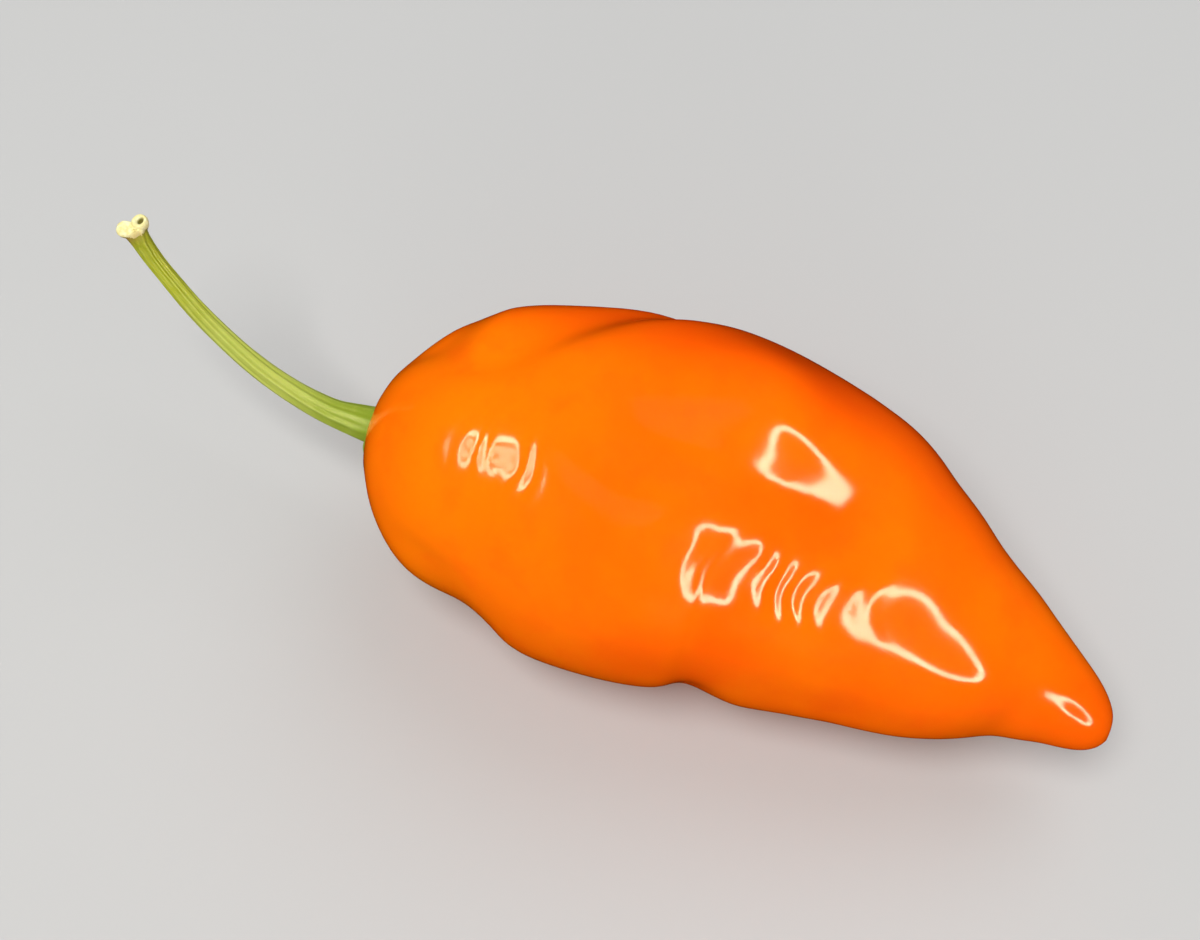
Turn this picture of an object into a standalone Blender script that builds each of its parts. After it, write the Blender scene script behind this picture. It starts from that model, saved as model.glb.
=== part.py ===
"""A ripe orange chilli pepper, as picked, lying on a level surface.

The pod is one solid. A green calyx caps its shoulder end and runs on, as one growth, into the curved stalk.
The stalk ends in a scar of two small rings, where it came away from the plant.

Row frame: +X runs along the pod from its shoulder to its tip, +Z is up, the surface is z = 0, and the origin
is under the middle of the whole pepper's bounding box. Sizes here are in millimetres; the scene is in metres.
"""

import math

import bmesh
import bpy
from mathutils import Matrix, Vector

MM = 0.001
# Points that a curve is worked out at between two of its given points, and how near two points are one.
CURVE_STEPS = 24
SAME_PLACE = 1e-4

# ---- Pod -------------------------------------------------------------------------------------------------
# Its outline from the basin under the calyx, over the shoulder, to the tip: (distance along, radius).
POD_OUTLINE = (
    (2.3, 0.0),
    (2.05, 1.8),
    (1.3, 3.2),
    (0.45, 4.5),
    (0.9, 6.0),
    (2.6, 8.1),
    (5.0, 10.0),
    (8.0, 11.7),
    (13.0, 13.2),
    (19.0, 14.5),
    (25.0, 14.4),
    (31.0, 13.4),
    (37.0, 12.2),
    (42.0, 10.1),
    (47.0, 8.0),
    (51.5, 6.0),
    (55.5, 3.9),
    (58.3, 2.5),
    (59.6, 1.3),
    (60.0, 0.0),
)
# The line that its middle follows: (distance along, sideways, height above the surface).
POD_SPINE = (
    (0.0, -0.2, 12.3),
    (4.0, -0.5, 13.0),
    (8.0, -0.5, 13.5),
    (13.0, 0.2, 13.9),
    (20.0, 0.8, 14.1),
    (28.0, 1.9, 13.5),
    (35.0, 1.6, 13.0),
    (41.0, 0.5, 12.5),
    (46.0, -0.4, 11.7),
    (51.0, -0.9, 10.9),
    (56.0, -1.9, 10.8),
    (60.0, -3.7, 11.0),
)
SPINE_STEPS = 240
# The spine's direction at a place is taken over this distance on either side of it.
SPINE_REACH = 0.5
POD_RINGS = 72
POD_SIDES = 50
# Angles round the pod are in degrees: 0 is sideways (+Y), 90 the top, 180 the other side and 270 underneath.
# Furrows in the skin: the line of (distance along, angle) that each follows, its half width and its depth.
FURROWS = (
    (((4.0, 62), (7.0, 78), (10.5, 78), (13.5, 63), (17.0, 44), (21.0, 30)), 2.2, 0.9),
    (((7.6, 165), (8.2, 186), (8.8, 207), (10.8, 226), (14.5, 246)), 2.3, 0.75),
    (((29.6, 194), (28.2, 210), (26.0, 225), (23.0, 240)), 2.7, 0.6),
    (((21.0, 99), (26.0, 99), (31.0, 99), (36.0, 100)), 3.4, 1.7),
    (((53.4, 130), (53.0, 165), (53.0, 205), (53.6, 240)), 1.5, 0.4),
    (((3.0, 290), (9.0, 296), (18.0, 300), (30.0, 306), (40.0, 312)), 2.8, 0.8),
    (((3.0, 352), (8.0, 356), (14.0, 350), (22.0, 344)), 2.4, 0.7),
)
# Swellings of the skin: distance along, angle, half length, half width round the pod, height.
SWELLINGS = (
    (8.5, 54, 4.0, 4.0, 0.4),
    (3.5, 35, 3.0, 4.5, 0.5),
    (0.8, 206, 2.4, 6.0, -1.3),
    (11.0, 118, 4.0, 4.5, 0.35),
    (18.5, 122, 3.0, 4.5, -0.3),
    (17.5, 74, 2.6, 2.0, 0.35),
    (24.4, 114, 2.2, 1.6, 0.25),
    (14.5, 208, 3.5, 5.0, 0.6),
    (36.0, 204, 4.0, 4.0, 0.4),
    (44.0, 200, 5.0, 3.5, 0.5),
    (28.0, 77, 5.0, 5.0, 2.0),
    (26.0, 152, 8.0, 4.4, 1.2),
    (36.0, 146, 5.0, 3.4, 0.3),
    (44.0, 148, 8.0, 3.4, 0.6),
    (51.5, 130, 4.5, 3.0, 0.7),
)
# Relief fades out between these radii on the shoulder, so that the calyx sits on a smooth ring.
SMOOTH_RING = (5.0, 7.0)
SHOULDER_LENGTH = 5.0
# Skin within this height of the surface is pressed towards it by the pod's weight.
SETTLE_DEPTH = 0.2

# ---- Calyx and stalk -------------------------------------------------------------------------------------
STALK_SIDES = 30
# The calyx from the middle of its underside, round its edge, to the foot of the stalk: (radius, height above
# the pod's skin). Its underside keeps clear of the skin.
CALYX_PROFILE = (
    (0.6, 0.3),
    (1.6, 0.3),
    (2.6, 0.3),
    (3.5, 0.3),
    (4.0, 0.32),
    (4.2, 0.48),
    (4.0, 0.68),
    (3.4, 0.85),
    (2.8, 1.1),
    (2.25, 1.5),
    (1.85, 2.15),
    (1.7, 2.9),
)
CALYX_LOBES = 5
CALYX_LOBE_REACH = 0.4
# It is seated on this many of the first points of the pod's outline.
CALYX_SEAT_POINTS = 7
CALYX_SEAT_STEPS = 60
# The line that the stalk's middle follows, from the calyx to its end.
STALK_LINE = (
    (-2.0, -0.4, 12.3),
    (-5.5, -0.6, 12.5),
    (-11.0, 0.0, 13.7),
    (-16.6, 1.35, 16.3),
    (-21.2, 2.75, 20.5),
    (-22.9, 3.4, 23.4),
)
# Its radius: (share of the way from the calyx, radius).
STALK_RADII = (
    (0.0, 1.5),
    (0.04, 1.35),
    (0.12, 1.1),
    (0.25, 0.95),
    (0.5, 0.83),
    (0.85, 0.69),
    (0.94, 0.75),
    (1.0, 0.92),
)
STALK_RINGS = 44
# The scar's two rings stand side by side on the end of the stalk and face up: half the way from one to the
# other, the way they face, and the outline of each from its root to its hollow, as (radius, height).
SCAR_MIDDLE = (-22.9, 3.45, 23.7)
SCAR_REACH = (0.46, 0.43, 0.12)
SCAR_FACING = (-0.05, -0.12, 1.0)
SCAR_RINGS = (
    ((0.0, -1.0), (0.4, -0.85), (0.62, -0.4), (0.72, 0.0), (0.6, 0.3), (0.42, 0.32), (0.24, 0.12), (0.0, -0.15)),
    ((0.0, -1.0), (0.4, -0.85), (0.62, -0.4), (0.76, 0.0), (0.62, 0.26), (0.4, 0.24), (0.2, 0.14), (0.0, 0.12)),
)
SCAR_SIDES = 16


def smooth_through(points, steps):
    """Evenly spaced points on a centripetal Catmull-Rom curve through the given ones."""
    knots = [Vector(p) for p in points]
    knots = [2 * knots[0] - knots[1], *knots, 2 * knots[-1] - knots[-2]]
    fine = []
    for p0, p1, p2, p3 in zip(knots, knots[1:], knots[2:], knots[3:]):
        t1 = math.sqrt((p1 - p0).length)
        t2 = t1 + math.sqrt((p2 - p1).length)
        t3 = t2 + math.sqrt((p3 - p2).length)
        for k in range(CURVE_STEPS):
            t = t1 + (t2 - t1) * k / CURVE_STEPS
            a1 = p0.lerp(p1, t / t1)
            a2 = p1.lerp(p2, (t - t1) / (t2 - t1))
            a3 = p2.lerp(p3, (t - t2) / (t3 - t2))
            b1 = a1.lerp(a2, t / t2)
            b2 = a2.lerp(a3, (t - t1) / (t3 - t1))
            fine.append(b1.lerp(b2, (t - t1) / (t2 - t1)))
    fine.append(knots[-2])
    run = [0.0]
    for a, b in zip(fine, fine[1:]):
        run.append(run[-1] + (b - a).length)
    even = []
    j = 0
    for k in range(steps + 1):
        want = run[-1] * k / steps
        while j < len(run) - 2 and run[j + 1] < want:
            j += 1
        even.append(fine[j].lerp(fine[j + 1], (want - run[j]) / (run[j + 1] - run[j])))
    return even


def between(table, at):
    """Value at a place in a table of (place, value), and straight between its rows."""
    if at <= table[0][0]:
        return table[0][1]
    for (a, low), (b, high) in zip(table, table[1:]):
        if at <= b:
            t = (at - a) / (b - a)
            return low + (high - low) * t
    return table[-1][1]


SPINE_CURVE = smooth_through(POD_SPINE, SPINE_STEPS)


def spine_at(along):
    """Middle of the pod at a distance along it. Beyond its ends the line runs on straight."""
    j = 0
    while j < len(SPINE_CURVE) - 2 and SPINE_CURVE[j + 1].x < along:
        j += 1
    a, b = SPINE_CURVE[j], SPINE_CURVE[j + 1]
    return a.lerp(b, (along - a.x) / (b.x - a.x))


def bent(p):
    """Where a point of the straight pod goes when its middle follows the spine."""
    middle = spine_at(p.x)
    ahead = (spine_at(p.x + SPINE_REACH) - spine_at(p.x - SPINE_REACH)).normalized()
    side = Vector((0, 0, 1)).cross(ahead).normalized()
    return middle + side * p.y + ahead.cross(side) * p.z


def distance_over_skin(along, angle, radius, line):
    """Distance over the skin, at a radius, from a point to a line of (distance along, angle)."""
    here = Vector((along, math.radians(angle) * radius))
    nearest = math.inf
    for (a0, g0), (a1, g1) in zip(line, line[1:]):
        p = Vector((a0, math.radians(g0) * radius))
        q = Vector((a1, math.radians(g1) * radius))
        step = q - p
        t = max(0.0, min(1.0, (here - p).dot(step) / step.length_squared))
        nearest = min(nearest, (p + step * t - here).length)
    return nearest


def turn_between(angle, other):
    return (angle - other + 180) % 360 - 180


def relief(along, angle, radius):
    """How far the skin stands out at a point, from its swellings and furrows."""
    out = 0.0
    for at, facing, half_length, half_width, height in SWELLINGS:
        x = (along - at) / half_length
        y = math.radians(turn_between(angle, facing)) * radius / half_width
        out += height * math.exp(-x * x - y * y)
    for line, half_width, depth in FURROWS:
        middle = line[len(line) // 2][1]
        near = middle + turn_between(angle, middle)
        d = distance_over_skin(along, near, radius, line) / half_width
        out -= depth * math.exp(-d * d)
    if along < SHOULDER_LENGTH:
        inner, outer = SMOOTH_RING
        out *= min(1.0, max(0.0, (radius - inner) / (outer - inner)))
    return out


def settled(p):
    """A point's place once the pod's weight has pressed its lowest skin flat on the surface."""
    if p.z <= -SETTLE_DEPTH:
        return Vector((p.x, p.y, 0))
    if p.z < SETTLE_DEPTH:
        return Vector((p.x, p.y, (p.z + SETTLE_DEPTH) ** 2 / (4 * SETTLE_DEPTH)))
    return p


def make_material(name, colour, roughness):
    material = bpy.data.materials.new(name)
    material.use_nodes = True
    shader = material.node_tree.nodes["Principled BSDF"]
    shader.inputs["Base Color"].default_value = (*colour, 1)
    shader.inputs["Roughness"].default_value = roughness
    shader.inputs["Metallic"].default_value = 0.0
    return material


def make_object(name, bm, material):
    bmesh.ops.recalc_face_normals(bm, faces=bm.faces)
    mesh = bpy.data.meshes.new(name)
    bm.to_mesh(mesh)
    bm.free()
    if material:
        mesh.materials.append(material)
    mesh.shade_smooth()
    obj = bpy.data.objects.new(name, mesh)
    bpy.context.scene.collection.objects.link(obj)
    return obj


def make_pod(material):
    """The fruit: its outline turned round its axis, raised and sunk by the relief, bent, and settled."""
    bm = bmesh.new()
    outline = [bm.verts.new((p.x, 0, p.y)) for p in smooth_through(POD_OUTLINE, POD_RINGS)]
    edges = [bm.edges.new(pair) for pair in zip(outline, outline[1:])]
    bmesh.ops.spin(
        bm,
        geom=outline + edges,
        cent=(0, 0, 0),
        axis=(1, 0, 0),
        angle=math.tau,
        steps=POD_SIDES,
        use_merge=True,
    )
    bmesh.ops.remove_doubles(bm, verts=bm.verts, dist=SAME_PLACE)
    bmesh.ops.recalc_face_normals(bm, faces=bm.faces)
    bm.normal_update()
    places = []
    for v in bm.verts:
        radius = math.hypot(v.co.y, v.co.z)
        if radius > SAME_PLACE:
            angle = math.degrees(math.atan2(v.co.z, v.co.y)) % 360
            places.append(settled(bent(v.co + v.normal * relief(v.co.x, angle, radius))))
        else:
            places.append(bent(v.co))
    for v, place in zip(bm.verts, places):
        v.co = place * MM
    return make_object("pod", bm, material)


def ring_of_edges(bm, points):
    verts = [bm.verts.new(p * MM) for p in points]
    return [bm.edges.new(pair) for pair in zip(verts, verts[1:] + verts[:1])]


def calyx_rings():
    """Rings of the calyx, from the middle of its underside, round its lobed edge, to the foot of the stalk."""
    skin = [(p.y, p.x) for p in smooth_through(POD_OUTLINE[:CALYX_SEAT_POINTS], CALYX_SEAT_STEPS)]
    widest = max(radius for radius, _ in CALYX_PROFILE)
    rings = []
    for radius, height in CALYX_PROFILE:
        points = []
        for k in range(STALK_SIDES):
            turn = math.tau * k / STALK_SIDES
            lobed = radius + CALYX_LOBE_REACH * math.cos(CALYX_LOBES * turn) * (radius / widest) ** 3
            x = between(skin, lobed) - height
            points.append(bent(Vector((x, lobed * math.cos(turn), lobed * math.sin(turn)))))
        rings.append(points)
    return rings


def stalk_rings():
    """Rings of the stalk round its line, from the calyx to its end."""
    line = smooth_through(STALK_LINE, STALK_RINGS)
    rings = []
    for j, p in enumerate(line):
        ahead = (line[min(j + 1, STALK_RINGS)] - line[max(j - 1, 0)]).normalized()
        side = ahead.cross(Vector((0, 0, 1))).normalized()
        up = side.cross(ahead)
        radius = between(STALK_RADII, j / STALK_RINGS)
        points = []
        for k in range(STALK_SIDES):
            turn = math.tau * k / STALK_SIDES
            points.append(p + (-side * math.cos(turn) + up * math.sin(turn)) * radius)
        rings.append(points)
    return rings


def make_scar_ring(name, place, outline):
    """One ring of the scar: its outline turned round the way it faces."""
    bm = bmesh.new()
    verts = [bm.verts.new((radius * MM, 0, height * MM)) for radius, height in outline]
    edges = [bm.edges.new(pair) for pair in zip(verts, verts[1:])]
    bmesh.ops.spin(
        bm,
        geom=verts + edges,
        cent=(0, 0, 0),
        axis=(0, 0, 1),
        angle=math.tau,
        steps=SCAR_SIDES,
        use_merge=True,
    )
    bmesh.ops.remove_doubles(bm, verts=bm.verts, dist=SAME_PLACE * MM)
    turn = Vector(SCAR_FACING).to_track_quat("Z", "Y").to_matrix().to_4x4()
    bmesh.ops.transform(bm, matrix=Matrix.Translation(place * MM) @ turn, verts=bm.verts)
    return make_object(name, bm, None)


def fuse(obj, pieces):
    """Joins the pieces to the object as one solid, and removes them."""
    for piece in pieces:
        union = obj.modifiers.new("fuse", "BOOLEAN")
        union.operation = "UNION"
        union.solver = "EXACT"
        union.object = piece
    evaluated = obj.evaluated_get(bpy.context.evaluated_depsgraph_get())
    joined = bpy.data.meshes.new_from_object(evaluated)
    obj.modifiers.clear()
    obj.data = joined
    for piece in pieces:
        bpy.data.objects.remove(piece)


def make_stalk(material):
    """The calyx, the stalk and the two rings of its scar, as one growth."""
    bm = bmesh.new()
    loops = [ring_of_edges(bm, points) for points in calyx_rings() + stalk_rings()]
    for a, b in zip(loops, loops[1:]):
        bmesh.ops.bridge_loops(bm, edges=a + b)
    bmesh.ops.holes_fill(bm, edges=loops[0] + loops[-1])
    stalk = make_object("stalk_with_calyx", bm, material)
    rings = []
    for way, outline in zip((1, -1), SCAR_RINGS):
        place = Vector(SCAR_MIDDLE) + way * Vector(SCAR_REACH)
        rings.append(make_scar_ring(f"scar_ring_{len(rings)}", place, outline))
    fuse(stalk, rings)
    return stalk


def centre_on_origin(objects):
    """Moves the meshes so that the origin is under the middle of their common box."""
    places = [v.co for obj in objects for v in obj.data.vertices]
    middle = [(min(p[i] for p in places) + max(p[i] for p in places)) / 2 for i in (0, 1)]
    for obj in objects:
        obj.data.transform(Matrix.Translation((-middle[0], -middle[1], 0)))


def main():
    for obj in list(bpy.data.objects):
        bpy.data.objects.remove(obj)
    pod = make_pod(make_material("ripe_skin", (0.9, 0.2, 0.01), 0.25))
    stalk = make_stalk(make_material("stalk_skin", (0.35, 0.4, 0.06), 0.5))
    centre_on_origin((pod, stalk))


main()
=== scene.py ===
"""The looks of a ripe orange chilli pepper that lies on a pale surface, under soft studio light.

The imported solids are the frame, and the pod and the stalk are finer copies of them. The pod gets its glossy,
faintly wrinkled skin, which mirrors rings of small lamps. The stalk gets its lengthwise ridges, a calyx
seated on the pod, and a pale corky scar.
"""

import math

import bpy
import numpy as np
from mathutils import Matrix, Vector, noise
from mathutils.bvhtree import BVHTree


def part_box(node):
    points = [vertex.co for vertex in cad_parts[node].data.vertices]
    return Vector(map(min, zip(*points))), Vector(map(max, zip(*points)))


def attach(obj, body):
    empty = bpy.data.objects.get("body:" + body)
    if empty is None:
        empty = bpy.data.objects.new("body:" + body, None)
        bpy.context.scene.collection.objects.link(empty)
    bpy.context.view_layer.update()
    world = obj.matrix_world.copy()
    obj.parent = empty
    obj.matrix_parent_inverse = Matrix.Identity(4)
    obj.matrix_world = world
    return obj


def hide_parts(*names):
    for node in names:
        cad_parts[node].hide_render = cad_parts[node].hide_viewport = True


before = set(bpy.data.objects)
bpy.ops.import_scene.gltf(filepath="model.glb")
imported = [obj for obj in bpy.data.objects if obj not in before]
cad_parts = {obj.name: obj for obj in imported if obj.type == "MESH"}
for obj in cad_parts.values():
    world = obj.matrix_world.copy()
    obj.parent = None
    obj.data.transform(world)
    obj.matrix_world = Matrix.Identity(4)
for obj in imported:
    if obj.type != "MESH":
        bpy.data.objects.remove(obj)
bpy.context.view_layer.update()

MM = 0.001
SUBDIVISIONS = 2
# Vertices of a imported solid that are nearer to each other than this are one.
MERGED = 0.005 * MM
# The widest bend at which two triangles are joined into a four-sided face.
JOINED = math.radians(60)

# ---- Pod: how far its skin is uneven, in millimetres ------------------------------------------------------
# Dents and ripples: how far it is from one to the next, and their height.
DENTS = (8.0, 0.035)
RIPPLES = (2.1, 0.010)
# Ripples run round the pod: they are this much longer that way.
RIPPLE_STRETCH = 2.6
# Stretches where the ripples are higher: how far apart they are, and an offset that sets where they fall.
RIPPLED = (11, Vector((3, 1, 7)))
# The ripples are lowest where the noise that sets the stretches is under the first of these values, and
# highest where it is over the second.
RIPPLED_RISE = (-0.25, 0.35)
# Where the ripples are lowest they have this share of their height, and elsewhere up to one height more.
LEAST_RIPPLES = 0.4
# Fine wrinkles that run round the pod: how far it is from one to the next, and how far they leave a straight
# line, in steps, and over what length.
WRINKLE_STEP = 1.75
WRINKLE_SWAY = (0.9, 3.4)
# The patches where they are: middle, reach and height.
WRINKLES = (
    (Vector((15.5, -7.75, 23.2)), 4.3, 0.03),
    (Vector((21.5, -6.5, 22.0)), 4.2, 0.009),
    (Vector((-6.0, -6.6, 25.8)), 3.8, 0.052),
    (Vector((9.4, -8.0, 25.1)), 2.4, 0.012),
)
# A stretch of the ridge that is a little flatter than the rest: middle, reach along and across, and depth.
FLATTER = (Vector((15.6, -7.6, 23.25)), 6.2, 4.5, 0.5)
# Fine folds where the skin is drawn in round the calyx: their count and height, and the ring where they are.
PUCKERS = 15
PUCKER_HEIGHT = 0.045
PUCKER_RING = (4.0, 2.2)
# How far the folds leave their even places, in radians, and over what length.
PUCKER_SWAY = (2.4, 4)
# The folds are gone at the first of these distances down the pod, and full up to the second.
PUCKERS_END = (12, 3)
# The point where the flower was, at the pod's tip: the radius and the depth of its dimple.
TIP_DIMPLE = (0.75, 0.14)
# Its brown spot is gone at the first of these radii, and full within the second.
TIP_SPOT = (0.55, 0.15)
# The relief fades out towards the surface that the pod rests on, from this height down.
RELIEF_FADES = 2.5
# How many times the bend of the skin is averaged with that next to it, for the painted shade in furrows.
BEND_ROUNDS = 160
# The bend that counts as open skin, and the one that counts as a furrow, for the painted shade.
BENDS = (-0.045, 0.03)

# ---- Calyx and stalk, in millimetres ----------------------------------------------------------------------
# The stalk's line has this many steps. Each station takes in the vertices that are this near to it along X,
# and then the line is smoothed this many times.
STALK_STATIONS = 40
STATION_REACH = 0.9
LINE_ROUNDS = 3
# The vertices that are this near to the calyx's end along X show where its middle is.
CALYX_END = 2.2
STALK_RIDGES = 9
RIDGE_HEIGHT = 0.045
# Lower ridges run between the ridges, at this share of their height.
LOWER_RIDGES = 0.4
# How far the ridges turn about the stalk from its foot to its end, in radians.
RIDGE_TWIST = 1.1
# How far the ridges leave their even places, in radians, and over what length.
RIDGE_SWAY = (1.2, 5)
# The shares of the way along the stalk between which they fade in.
RIDGES_BEGIN = (0.1, 0.2)
# The calyx is drawn down to the pod where it is this near to it, and all the way at the second distance.
SEAT_REACH = (0.75, 0.36)
SEAT_DEPTH = 0.05
# The calyx has ribs, which sway as the ridges do.
CALYX_RIBS = 10
CALYX_RIB_HEIGHT = 0.07
RIB_SWAY = (1.5, 3)
# They are gone at the first of these shares of the way along the stalk, and full up to the second.
RIBS_END = (0.16, 0.06)
# They are gone where the skin faces across the stalk's line, and full where it faces along it this much.
RIBS_FACE = (0.1, 0.5)
# Painted light: how much paler a full ridge or rib is, as painted highlight, and how much darker a furrow, as
# painted shade, on a scale from 0 to 1.
SHADING = 0.36
# The scar's two rings: the way from the one to the other, and half that distance.
SCAR_WAY = Vector((0.72, 0.67, 0.19)).normalized()
SCAR_REACH = 0.64
# The middle of the scar is that of the vertices this near to its top.
SCAR_TOP = 0.5
# How far the cork goes down from the top, and out from the middle, and the step and height of its grain.
SCAR_LENGTH = 0.8
SCAR_RADIUS = 1.7
CORK_GRAIN = (0.35, 0.05)
# Further from the middle than the cork goes down, the grain fades out over this length, and the stalk's
# ridges fade in.
GRAIN_FADES = 1.2
# The radii of the ring with the hole and of the plain one, along their crests.
HOLED_RADIUS = 0.5
PLAIN_RADIUS = 0.42
# The hole is gone at the first of these radii and depths from the top, and full within the second.
HOLE_RADII = (0.36, 0.2)
HOLE_DEPTHS = (1.0, 0.6)
# The valleys round the rings are darker, as painted shade: how much at most, and between which distances from
# a crest. There is none within the middle of the plain ring.
VALLEY_SHADE = 0.6
VALLEY = (0.2, 0.45)
PLAIN_MIDDLE = (0.12, 0.3)

# ---- Colours: linear red, green, blue and alpha -----------------------------------------------------------
# Painted shade: the pod is darker towards its end by the calyx.
CALYX_END_SHADE_ORANGE = (0.88, 0.15, 0.0008, 1)
SHOULDER_ORANGE = (0.96, 0.18, 0.0008, 1)
BELLY_ORANGE = (0.94, 0.113, 0.0006, 1)
RIDGE_ORANGE = (0.93, 0.125, 0.0006, 1)
TIP_ORANGE = (0.78, 0.096, 0.0008, 1)
BLUSH_YELLOW = (0.97, 0.17, 0.0008, 1)
PATCH_RED = (0.92, 0.1, 0.0006, 1)
# Painted shade on the pod's far side.
FAR_SIDE_SHADE_RED = (0.8, 0.06, 0.0005, 1)
# Painted shade in the pod's furrows.
FURROW_SHADE_RED = (0.84, 0.07, 0.0005, 1)
RIM_GOLD = (0.85, 0.2, 0.004, 1)
POINT_BROWN = (0.3, 0.07, 0.01, 1)
CALYX_GREEN = (0.14, 0.22, 0.003, 1)
FOOT_GREEN = (0.23, 0.3, 0.02, 1)
PALE_GREEN = (0.38, 0.42, 0.07, 1)
OLIVE_GREEN = (0.33, 0.35, 0.01, 1)
END_TAN = (0.3, 0.19, 0.035, 1)
MOTTLE_GREEN = (0.42, 0.47, 0.09, 1)
# Painted shade in the stalk's furrows, and painted highlight on its ridges.
FURROW_SHADE_GREEN = (0.2, 0.26, 0.01, 1)
RIDGE_HIGHLIGHT_GREEN = (0.5, 0.56, 0.18, 1)
CORK_DARK = (0.7, 0.62, 0.26, 1)
CORK_PALE = (0.82, 0.79, 0.45, 1)
# Painted shade in the valleys round the scar's rings.
CORK_VALLEY_SHADE = (0.5, 0.37, 0.12, 1)
CORK_HOLE = (0.13, 0.11, 0.015, 1)
FLOOR_GREY = (0.45, 0.45, 0.445, 1)

# ---- Camera: it looks down on the pod's near side, a little from the tip's end ----------------------------
CAMERA_AZIMUTH = 22.0
CAMERA_ELEVATION = 62.0
CAMERA_DISTANCE = 132.9
CAMERA_LENS = 51.8
LOOKED_AT = Vector((-0.43, -0.38, 16.44))

# ---- Room: sizes and distances in millimetres -------------------------------------------------------------
FLOOR_SIZE = 1400
RING_LAMP_SIZE = 14
RING_LAMP_AWAY = 160
RING_LAMP_COLOUR = (1, 0.86, 0.6)
SOFT_LAMP_AWAY = 900
WORLD_COLOUR = (0.95, 0.97, 1, 1)
WORLD_STRENGTH = 0.4


def camera_axes():
    """The camera's right and up, and the way from the pepper to the camera."""
    a = math.radians(CAMERA_AZIMUTH)
    e = math.radians(CAMERA_ELEVATION)
    right = Vector((math.cos(a), math.sin(a), 0))
    back = Vector((math.sin(a) * math.cos(e), -math.cos(a) * math.cos(e), math.sin(e)))
    return right, back.cross(right), back


def step_between(value, low, high):
    """0 at low, 1 at high, and a smooth step between them."""
    t = max(0.0, min(1.0, (value - low) / (high - low)))
    return t * t * (3 - 2 * t)


# ---- Small helpers for node trees -------------------------------------------------------------------------


class Tree:
    """A material's node tree, with short calls that add and link nodes."""

    def __init__(self, node_tree):
        self.tree = node_tree

    def add(self, kind, settings=None, **inputs):
        """Adds a node. An input is a value, or an output socket that is linked to it."""
        node = self.tree.nodes.new(kind)
        for name, value in (settings or {}).items():
            setattr(node, name, value)
        for name, value in inputs.items():
            self.feed(node, name.replace("_", " "), value)
        return node

    def feed(self, node, name, value):
        """Sets an input by its name or its number, or links it to an output socket."""
        socket = node.inputs[name]
        if isinstance(value, bpy.types.NodeSocket):
            self.tree.links.new(value, socket)
        else:
            socket.default_value = value

    def maths(self, operation, a, b):
        node = self.add("ShaderNodeMath", {"operation": operation})
        self.feed(node, 0, a)
        self.feed(node, 1, b)
        return node.outputs[0]

    def mix(self, factor, a, b):
        """A colour between a and b."""
        node = self.add("ShaderNodeMix", {"data_type": "RGBA"})
        self.feed(node, 0, factor)
        self.feed(node, 6, a)
        self.feed(node, 7, b)
        return node.outputs[2]

    def ramp(self, value, low, high, to_low=0.0, to_high=1.0):
        node = self.add("ShaderNodeMapRange", {"interpolation_type": "SMOOTHSTEP"}, Value=value)
        for name, number in (("From Min", low), ("From Max", high), ("To Min", to_low), ("To Max", to_high)):
            node.inputs[name].default_value = number
        return node.outputs["Result"]

    def layered(self, colour, layers):
        """A colour with layers over it. Each has a mask, its start and full end, a strength and a colour."""
        for mask, start, full, strength, over in layers:
            colour = self.mix(self.ramp(mask, start, full, 0, strength), colour, over)
        return colour

    def noise(self, where, scale, detail):
        node = self.add("ShaderNodeTexNoise", Vector=where, Scale=scale, Detail=detail, Roughness=0.5)
        return node.outputs["Fac"]

    def place(self):
        return self.add("ShaderNodeTexCoord").outputs["Object"]

    def kept(self, name):
        """A number that is kept with the mesh's vertices."""
        return self.add("ShaderNodeAttribute", {"attribute_name": name}).outputs["Fac"]

    def grown(self, effect, where, scale):
        """The patches and the grain of the shared effect, at this material's scale."""
        node = self.add("ShaderNodeGroup", {"node_tree": effect}, Place=where, Scale=scale)
        return node.outputs["Patches"], node.outputs["Grain"]


def new_material(name):
    """A material, its tree and its Principled shader."""
    material = bpy.data.materials.new(name)
    material.use_nodes = True
    return material, Tree(material.node_tree), material.node_tree.nodes["Principled BSDF"]


def set_inputs(shader, **values):
    for name, value in values.items():
        shader.inputs[name.replace("_", " ")].default_value = value


# ---- Materials --------------------------------------------------------------------------------------------


def make_growth():
    """An effect that the pepper's three materials share: soft patches, and a grain three times as fine."""
    effect = bpy.data.node_groups.new("growth", "ShaderNodeTree")
    effect.interface.new_socket(name="Place", in_out="INPUT", socket_type="NodeSocketVector")
    effect.interface.new_socket(name="Scale", in_out="INPUT", socket_type="NodeSocketFloat")
    effect.interface.new_socket(name="Patches", in_out="OUTPUT", socket_type="NodeSocketFloat")
    effect.interface.new_socket(name="Grain", in_out="OUTPUT", socket_type="NodeSocketFloat")
    tree = Tree(effect)
    given = tree.add("NodeGroupInput").outputs
    result = tree.add("NodeGroupOutput")
    finer = tree.maths("MULTIPLY", given["Scale"], 3.0)
    tree.feed(result, "Patches", tree.noise(given["Place"], given["Scale"], 4))
    tree.feed(result, "Grain", tree.noise(given["Place"], finer, 4))
    return effect


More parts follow.
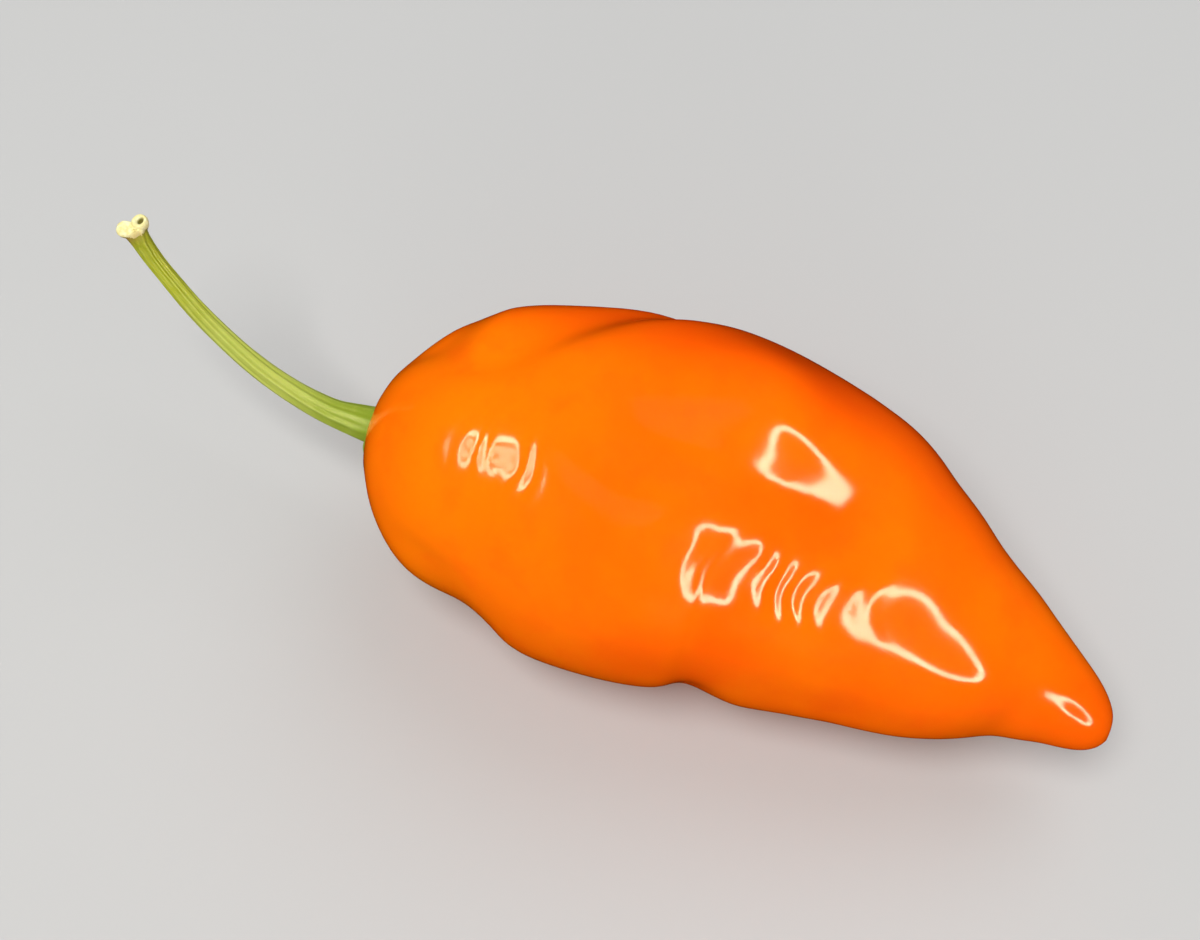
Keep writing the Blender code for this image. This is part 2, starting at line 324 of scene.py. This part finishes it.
def make_ripe_skin(growth):
    """Glossy orange skin, yellower at the shoulder and darker at the tip, with painted shade: darker towards
    the calyx's end, redder on the far side and redder in furrows.
    """
    material, tree, shader = new_material("ripe_skin")
    where = tree.place()
    along = tree.kept("along")
    across = tree.add("ShaderNodeSeparateXYZ", Vector=where).outputs["Y"]
    blush = tree.noise(where, 95, 3)
    patches, grain = tree.grown(growth, where, 300)
    # Painted shade: the colour at the calyx's end is darker than the shoulder's.
    base = tree.layered(CALYX_END_SHADE_ORANGE, (
        (along, 0.02, 0.14, 1, SHOULDER_ORANGE),
        (along, 0.1, 0.45, 1, BELLY_ORANGE),
        (along, 0.55, 0.75, 1, RIDGE_ORANGE),
        (along, 0.82, 1.0, 1, TIP_ORANGE),
        (blush, 0.35, 0.7, 0.6, BLUSH_YELLOW),
        (patches, 0.45, 0.75, 0.3, PATCH_RED),
        # Painted shade: redder towards the far side.
        (across, 1 * MM, 10 * MM, 0.7, FAR_SIDE_SHADE_RED),
        # Painted shade: redder in furrows.
        (tree.kept("hollow"), 0.2, 1.0, 0.35, FURROW_SHADE_RED),
        (tree.kept("rim"), 0.0, 1.0, 0.3, RIM_GOLD),
    ))
    tree.feed(shader, "Base Color", tree.mix(tree.kept("point"), base, POINT_BROWN))
    tree.feed(shader, "Roughness", tree.ramp(patches, 0.3, 0.7, 0.09, 0.13))
    set_inputs(shader, Subsurface_Weight=0.3, Subsurface_Radius=(1.0, 0.3, 0.06), Subsurface_Scale=2.0 * MM)
    set_inputs(shader, Specular_IOR_Level=0.22, Coat_Weight=0.06, Coat_Roughness=0.06)
    pores = tree.add("ShaderNodeTexVoronoi", {"feature": "F1"}, Vector=where, Scale=1700.0)
    height = tree.maths("ADD", tree.maths("MULTIPLY", pores.outputs["Distance"], 0.25), grain)
    bump = tree.add("ShaderNodeBump", Strength=0.1, Distance=0.04 * MM, Height=height)
    tree.feed(shader, "Normal", bump.outputs["Normal"])
    return material


def make_stalk_skin(growth):
    """Green skin of the calyx and stalk, paler half way and tan under the scar, with painted highlight on its
    ridges and painted shade in its furrows.
    """
    material, tree, shader = new_material("stalk_skin")
    along = tree.kept("along")
    furrow = tree.kept("furrow")
    mottle, grain = tree.grown(growth, tree.place(), 900)
    base = tree.layered(CALYX_GREEN, (
        (along, 0.03, 0.2, 1, FOOT_GREEN),
        (along, 0.2, 0.5, 1, PALE_GREEN),
        (along, 0.66, 0.85, 1, OLIVE_GREEN),
        (along, 0.92, 0.975, 1, END_TAN),
        (mottle, 0.45, 0.7, 0.2, MOTTLE_GREEN),
        # Painted shade in the furrows and painted highlight on the ridges and ribs.
        (furrow, 0.35, 1.0, 0.35, FURROW_SHADE_GREEN),
        (furrow, 0.3, 0.0, 0.18, RIDGE_HIGHLIGHT_GREEN),
    ))
    tree.feed(shader, "Base Color", base)
    tree.feed(shader, "Roughness", tree.ramp(mottle, 0.3, 0.7, 0.4, 0.55))
    set_inputs(shader, Subsurface_Weight=0.2, Subsurface_Radius=(0.6, 1.0, 0.2), Subsurface_Scale=0.5 * MM)
    set_inputs(shader, Specular_IOR_Level=0.35)
    bump = tree.add("ShaderNodeBump", Strength=0.3, Distance=0.05 * MM, Height=grain)
    tree.feed(shader, "Normal", bump.outputs["Normal"])
    return material


def make_cork(growth):
    """The pale, dry cork of the scar, dark in the hollow of one ring, with painted shade in the valleys round
    the rings.
    """
    material, tree, shader = new_material("cork")
    _, grain = tree.grown(growth, tree.place(), 870)
    base = tree.layered(CORK_DARK, ((grain, 0.35, 0.7, 1, CORK_PALE),))
    # Painted shade in the valleys round the rings.
    base = tree.mix(tree.kept("valley"), base, CORK_VALLEY_SHADE)
    base = tree.mix(tree.kept("hole"), base, CORK_HOLE)
    tree.feed(shader, "Base Color", base)
    set_inputs(shader, Roughness=0.75, Specular_IOR_Level=0.25)
    bump = tree.add("ShaderNodeBump", Strength=0.6, Distance=0.06 * MM, Height=grain)
    tree.feed(shader, "Normal", bump.outputs["Normal"])
    return material


# ---- Pieces -----------------------------------------------------------------------------------------------


def finer_copy(node, name):
    """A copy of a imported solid, its triangles joined into four-sided faces, and subdivided."""
    piece = bpy.data.objects.new(name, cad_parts[node].data.copy())
    bpy.context.scene.collection.objects.link(piece)
    bpy.ops.object.select_all(action="DESELECT")
    piece.select_set(True)
    bpy.context.view_layer.objects.active = piece
    piece.data.materials.clear()
    bpy.ops.object.mode_set(mode="EDIT")
    bpy.ops.mesh.select_all(action="SELECT")
    bpy.ops.mesh.remove_doubles(threshold=MERGED)
    bpy.ops.mesh.tris_convert_to_quads(face_threshold=JOINED, shape_threshold=JOINED)
    bpy.ops.mesh.customdata_custom_splitnormals_clear()
    bpy.ops.object.mode_set(mode="OBJECT")
    finer = piece.modifiers.new("finer", "SUBSURF")
    finer.levels = SUBDIVISIONS
    finer.render_levels = SUBDIVISIONS
    bpy.ops.object.modifier_apply(modifier=finer.name)
    bpy.ops.object.shade_smooth()
    return piece


def keep(piece, name, values):
    """Keeps one number with each vertex, for the materials."""
    piece.data.attributes.new(name, "FLOAT", "POINT").data.foreach_set("value", values)


def reshape(piece, shifts, node):
    """Moves each vertex by its shift, but never out of its solid's box."""
    low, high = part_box(node)
    for v, shift in zip(piece.data.vertices, shifts):
        p = v.co + shift
        v.co = [min(max(p[i], low[i]), high[i]) for i in range(3)]
    piece.data.update()


def pod_tip():
    """The vertex of the pod's solid that is furthest out along X."""
    return max(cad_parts["pod"].data.vertices, key=lambda v: v.co.x).co.copy()


def furrow_shade_mask(piece):
    """For each vertex, the share of painted shade in furrows: from 0 on open skin to 1 in a furrow, by how the
    surface bends there on the whole.
    """
    count = len(piece.data.vertices)
    places = np.array([v.co for v in piece.data.vertices])
    normals = np.array([v.normal for v in piece.data.vertices])
    edges = np.array([e.vertices for e in piece.data.edges])
    start = np.concatenate([edges[:, 0], edges[:, 1]])
    end = np.concatenate([edges[:, 1], edges[:, 0]])
    steps = places[end] - places[start]
    bend = (steps * normals[start]).sum(axis=1) / (steps**2).sum(axis=1) * MM
    neighbours = np.bincount(start, minlength=count)
    bends = np.bincount(start, bend, count) / neighbours
    for _ in range(BEND_ROUNDS):
        bends = (bends + np.bincount(start, bends[end], count) / neighbours) / 2
    return np.interp(bends, BENDS, (0, 1))


def calyx_middle():
    """The middle of the calyx, the part of the stalk's solid that reaches furthest towards the pod's tip."""
    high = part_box("stalk_with_calyx")[1]
    places = [v.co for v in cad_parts["stalk_with_calyx"].data.vertices]
    near = [p for p in places if p.x > high[0] - CALYX_END * MM]
    middle = sum(near, Vector()) / len(near)
    return Vector((high[0], middle.y, middle.z))


def dents_and_ripples(p):
    """How far dents and ripples bring the skin out at a place, in millimetres."""
    stretched = Vector((p.x, p.y / RIPPLE_STRETCH, p.z / RIPPLE_STRETCH)) / RIPPLES[0]
    rough = LEAST_RIPPLES + step_between(noise.noise(p / RIPPLED[0] + RIPPLED[1]), *RIPPLED_RISE)
    return noise.noise(p / DENTS[0]) * DENTS[1] + noise.noise(stretched) * RIPPLES[1] * rough


def wrinkles(p):
    """How far the patches of fine wrinkles bring the skin out at a place."""
    height = 0.0
    for middle, reach, full in WRINKLES:
        height += full * math.exp(-(((p - middle).length / reach) ** 2))
    sway = WRINKLE_SWAY[0] * noise.noise(p / WRINKLE_SWAY[1])
    return height * math.sin(math.tau * (p.x / WRINKLE_STEP + sway))


def flatter_ridge(p):
    """How far the flatter stretch of the ridge brings the skin in at a place."""
    middle, reach_along, reach_across, depth = FLATTER
    beside = p - middle
    return depth * math.exp(-((beside.x / reach_along) ** 2) - (beside.yz.length / reach_across) ** 2)


def puckers(p, calyx):
    """How near a place is to the puckered ring round the calyx, and how far a fold brings it out there."""
    away = p - calyx / MM
    spread = math.hypot(away.y, away.z)
    near = math.exp(-(((spread - PUCKER_RING[0]) / PUCKER_RING[1]) ** 2))
    near *= step_between(away.x, *PUCKERS_END)
    turn = math.atan2(away.z, away.y)
    uneven = PUCKER_SWAY[0] * noise.noise(p / PUCKER_SWAY[1]) + math.sin(3 * turn)
    return near, near * PUCKER_HEIGHT * math.cos(PUCKERS * turn + uneven)


def make_pod(material):
    """The pod, with faint dents and ripples, puckers round the calyx, and a dimple at its tip."""
    piece = finer_copy("pod", "pepper_pod")
    piece.data.materials.append(material)
    low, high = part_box("pod")
    calyx = calyx_middle()
    tip = pod_tip()
    # The mask of the painted shade in furrows.
    keep(piece, "hollow", furrow_shade_mask(piece))
    along, rim, point, shifts = [], [], [], []
    for v in piece.data.vertices:
        p = v.co / MM
        near, fold = puckers(p, calyx)
        gap = (v.co - tip).length / MM
        dimple = TIP_DIMPLE[1] * math.exp(-((gap / TIP_DIMPLE[0]) ** 2))
        out = dents_and_ripples(p) + wrinkles(p) - flatter_ridge(p) + fold - dimple
        out *= step_between(p.z, 0, RELIEF_FADES)
        along.append((v.co.x - low[0]) / (high[0] - low[0]))
        rim.append(near)
        point.append(step_between(gap, *TIP_SPOT))
        shifts.append(v.normal * (out * MM))
    keep(piece, "along", along)
    keep(piece, "rim", rim)
    keep(piece, "point", point)
    reshape(piece, shifts, "pod")
    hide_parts("pod")
    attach(piece, "root")
    return piece


def stalk_line():
    """Middles of the stalk's solid at even steps from the calyx to its end."""
    low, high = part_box("stalk_with_calyx")
    places = [v.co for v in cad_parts["stalk_with_calyx"].data.vertices]
    line = []
    for k in range(STALK_STATIONS + 1):
        x = high[0] + (low[0] - high[0]) * k / STALK_STATIONS
        near = [p for p in places if abs(p.x - x) < STATION_REACH * MM]
        line.append(sum(near, Vector()) / len(near))
    for _ in range(LINE_ROUNDS):
        line[1:-1] = [(a + b * 2 + c) / 4 for a, b, c in zip(line, line[1:], line[2:])]
    return line


def nearest_on(line, p):
    """The share of the way along a line that is nearest to a point, and the way the line runs there."""
    best = (math.inf, 0.0, line[1] - line[0])
    for j, (a, b) in enumerate(zip(line, line[1:])):
        step = b - a
        t = max(0.0, min(1.0, (p - a).dot(step) / step.length_squared))
        gap = (p - a - step * t).length
        if gap < best[0]:
            best = (gap, (j + t) / (len(line) - 1), step)
    return best[1], best[2].normalized()


def ridge_wave(v, share, ahead):
    """The height of the stalk's ridges at a vertex, as a share of a ridge's height."""
    side = ahead.cross(Vector((0, 0, 1))).normalized()
    up = side.cross(ahead)
    turn = math.atan2(v.normal.dot(up), v.normal.dot(side)) + RIDGE_TWIST * share
    wave = math.cos(STALK_RIDGES * turn + RIDGE_SWAY[0] * noise.noise(v.co / (RIDGE_SWAY[1] * MM)))
    return wave + LOWER_RIDGES * math.cos(2 * STALK_RIDGES * turn + 3 * math.sin(turn))


def calyx_rib(v, calyx):
    """The height of the calyx's ribs at a vertex, as a share of a rib's height."""
    around = math.atan2(v.co.z - calyx.z, v.co.y - calyx.y)
    return math.cos(CALYX_RIBS * around + RIB_SWAY[0] * noise.noise(v.co / (RIB_SWAY[1] * MM)))


def scar_masks(p, scar, top):
    """How far a place is in the hole of the one ring, and how much painted shade it gets in the valleys round
    both.
    """
    from_holed = (p - scar - SCAR_WAY * SCAR_REACH * MM).xy.length / MM
    from_plain = (p - scar + SCAR_WAY * SCAR_REACH * MM).xy.length / MM
    hole = step_between(from_holed, *HOLE_RADII) * step_between((top - p.z) / MM, *HOLE_DEPTHS)
    off_crest = min(abs(from_holed - HOLED_RADIUS), abs(from_plain - PLAIN_RADIUS))
    valley = VALLEY_SHADE * step_between(off_crest, *VALLEY) * step_between(from_plain, *PLAIN_MIDDLE)
    return hole, valley


def make_stalk(skin, cork, pod):
    """The calyx, seated on the pod, and the stalk with its ridges and its scar."""
    piece = finer_copy("stalk_with_calyx", "calyx_and_stalk")
    piece.data.materials.append(skin)
    piece.data.materials.append(cork)
    line = stalk_line()
    ground = BVHTree.FromObject(pod, bpy.context.evaluated_depsgraph_get())
    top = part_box("stalk_with_calyx")[1][2]
    highest = [v.co for v in piece.data.vertices if v.co.z > top - SCAR_TOP * MM]
    scar = sum(highest, Vector()) / len(highest)
    calyx = calyx_middle()
    along, furrow, hole, valley, shifts = [], [], [], [], []
    for v in piece.data.vertices:
        share, ahead = nearest_on(line, v.co)
        to_scar = (v.co - scar).length / MM
        bare = step_between(to_scar, SCAR_LENGTH, SCAR_LENGTH + GRAIN_FADES)
        ridge = ridge_wave(v, share, ahead) * bare * step_between(share, *RIDGES_BEGIN)
        on_calyx = step_between(share, *RIBS_END) * step_between(v.normal.dot(ahead), *RIBS_FACE)
        rib = calyx_rib(v, calyx) * on_calyx
        shift = v.normal * ((ridge * RIDGE_HEIGHT + rib * CALYX_RIB_HEIGHT) * MM)
        seat, normal, _, gap = ground.find_nearest(v.co)
        drawn = step_between(gap / MM, *SEAT_REACH)
        shift = (seat - normal * SEAT_DEPTH * MM - v.co) * drawn + shift * (1 - drawn)
        cork_grain = noise.noise(v.co / (CORK_GRAIN[0] * MM)) * CORK_GRAIN[1]
        shift += v.normal * (cork_grain * (1 - bare) * MM)
        in_hole, in_valley = scar_masks(v.co, scar, top)
        along.append(share)
        # The mask of the painted light: painted shade in furrows, painted highlight on ridges and ribs.
        furrow.append(0.5 - SHADING * (ridge + rib))
        hole.append(in_hole)
        valley.append(in_valley)
        shifts.append(shift)
    keep(piece, "along", along)
    keep(piece, "furrow", furrow)
    keep(piece, "hole", hole)
    keep(piece, "valley", valley)
    reshape(piece, shifts, "stalk_with_calyx")
    for face in piece.data.polygons:
        if face.center.z > top - SCAR_LENGTH * MM and (face.center - scar).length < SCAR_RADIUS * MM:
            face.material_index = 1
    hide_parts("stalk_with_calyx")
    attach(piece, "root")


# ---- Room -------------------------------------------------------------------------------------------------


def make_floor():
    """A plain pale floor, which the skin doesn't mirror."""
    bpy.ops.object.select_all(action="DESELECT")
    bpy.ops.mesh.primitive_plane_add(size=FLOOR_SIZE * MM)
    floor = bpy.context.object
    floor.name = "floor"
    material, _, shader = new_material("pale_floor")
    set_inputs(shader, Base_Color=FLOOR_GREY, Roughness=0.8, Specular_IOR_Level=0.2)
    floor.data.materials.append(material)
    floor.visible_glossy = False


def make_camera():
    right, up, back = camera_axes()
    data = bpy.data.cameras.new("camera")
    data.lens = CAMERA_LENS
    data.sensor_width = 36
    data.clip_start = 1 * MM
    camera = bpy.data.objects.new("camera", data)
    camera.location = (LOOKED_AT + back * CAMERA_DISTANCE) * MM
    camera.rotation_mode = "QUATERNION"
    camera.rotation_quaternion = Matrix((right, up, back)).transposed().to_quaternion()
    bpy.context.scene.collection.objects.link(camera)
    bpy.context.scene.camera = camera


def add_lamp(name, place, back, size, power, colour, mirrored=True):
    """A round lamp that lights the skin, or is only mirrored in it. back is the way to the lamp."""
    data = bpy.data.lights.new(name, "AREA")
    data.shape = "DISK"
    data.size = size * MM
    data.energy = power
    data.color = colour
    lamp = bpy.data.objects.new(name, data)
    lamp.location = place * MM
    lamp.rotation_mode = "QUATERNION"
    lamp.rotation_quaternion = back.to_track_quat("Z", "Y")
    lamp.visible_camera = False
    lamp.visible_glossy = mirrored
    lamp.visible_diffuse = not mirrored
    bpy.context.scene.collection.objects.link(lamp)


def add_ring_lamp(name, facing, towards, radii, count, power):
    """Small lamps side by side on a ring, which the skin mirrors as a bright loop."""
    back = facing.normalized()
    side = back.cross(Vector((0, 0, 1))).normalized()
    up = side.cross(back)
    middle = towards + back * RING_LAMP_AWAY
    for k in range(count):
        turn = math.tau * k / count
        place = middle + side * radii[0] * math.cos(turn) + up * radii[1] * math.sin(turn)
        add_lamp(f"{name}_{k:02d}", place, back, RING_LAMP_SIZE, power, RING_LAMP_COLOUR)


def add_soft_lamp(name, facing, size, power, colour):
    """A large lamp that lights the pepper and isn't mirrored in its skin."""
    back = facing.normalized()
    add_lamp(name, back * SOFT_LAMP_AWAY, back, size, power, colour, mirrored=False)


def make_light():
    """A ring over the belly, two nested ones over the shoulder, three soft lamps, and some even light."""
    right, up, back = camera_axes()
    belly = Vector((19, -5, 22))
    shoulder = Vector((-6, -5.5, 25))
    window = -right * 0.76 + up * 0.24 + back * 0.7
    add_ring_lamp("ring", right * 0.48 - up * 0.29 + back * 0.83, belly, (46, 46), 26, 0.021)
    add_ring_lamp("window", window, shoulder, (38, 28), 18, 0.017)
    add_ring_lamp("pane", window, shoulder, (14, 12), 6, 0.011)
    add_soft_lamp("soft_main", -right * 0.2 + up * 0.2 + back, 420, 7.2, (1, 0.99, 0.97))
    add_soft_lamp("soft_fill", right * 0.4 + up * 0.8 + back * 0.6, 700, 2.3, (0.97, 0.98, 1))
    add_soft_lamp("soft_low", back * 0.6 - up * 0.7, 500, 1.7, (1, 0.97, 0.94))
    world = bpy.data.worlds.new("studio")
    world.use_nodes = True
    set_inputs(world.node_tree.nodes["Background"], Color=WORLD_COLOUR, Strength=WORLD_STRENGTH)
    bpy.context.scene.world = world
    world.cycles_visibility.glossy = False
    bpy.context.scene.view_settings.view_transform = "Standard"


def main():
    make_camera()
    make_light()
    make_floor()
    growth = make_growth()
    pod = make_pod(make_ripe_skin(growth))
    make_stalk(make_stalk_skin(growth), make_cork(growth), pod)


main()
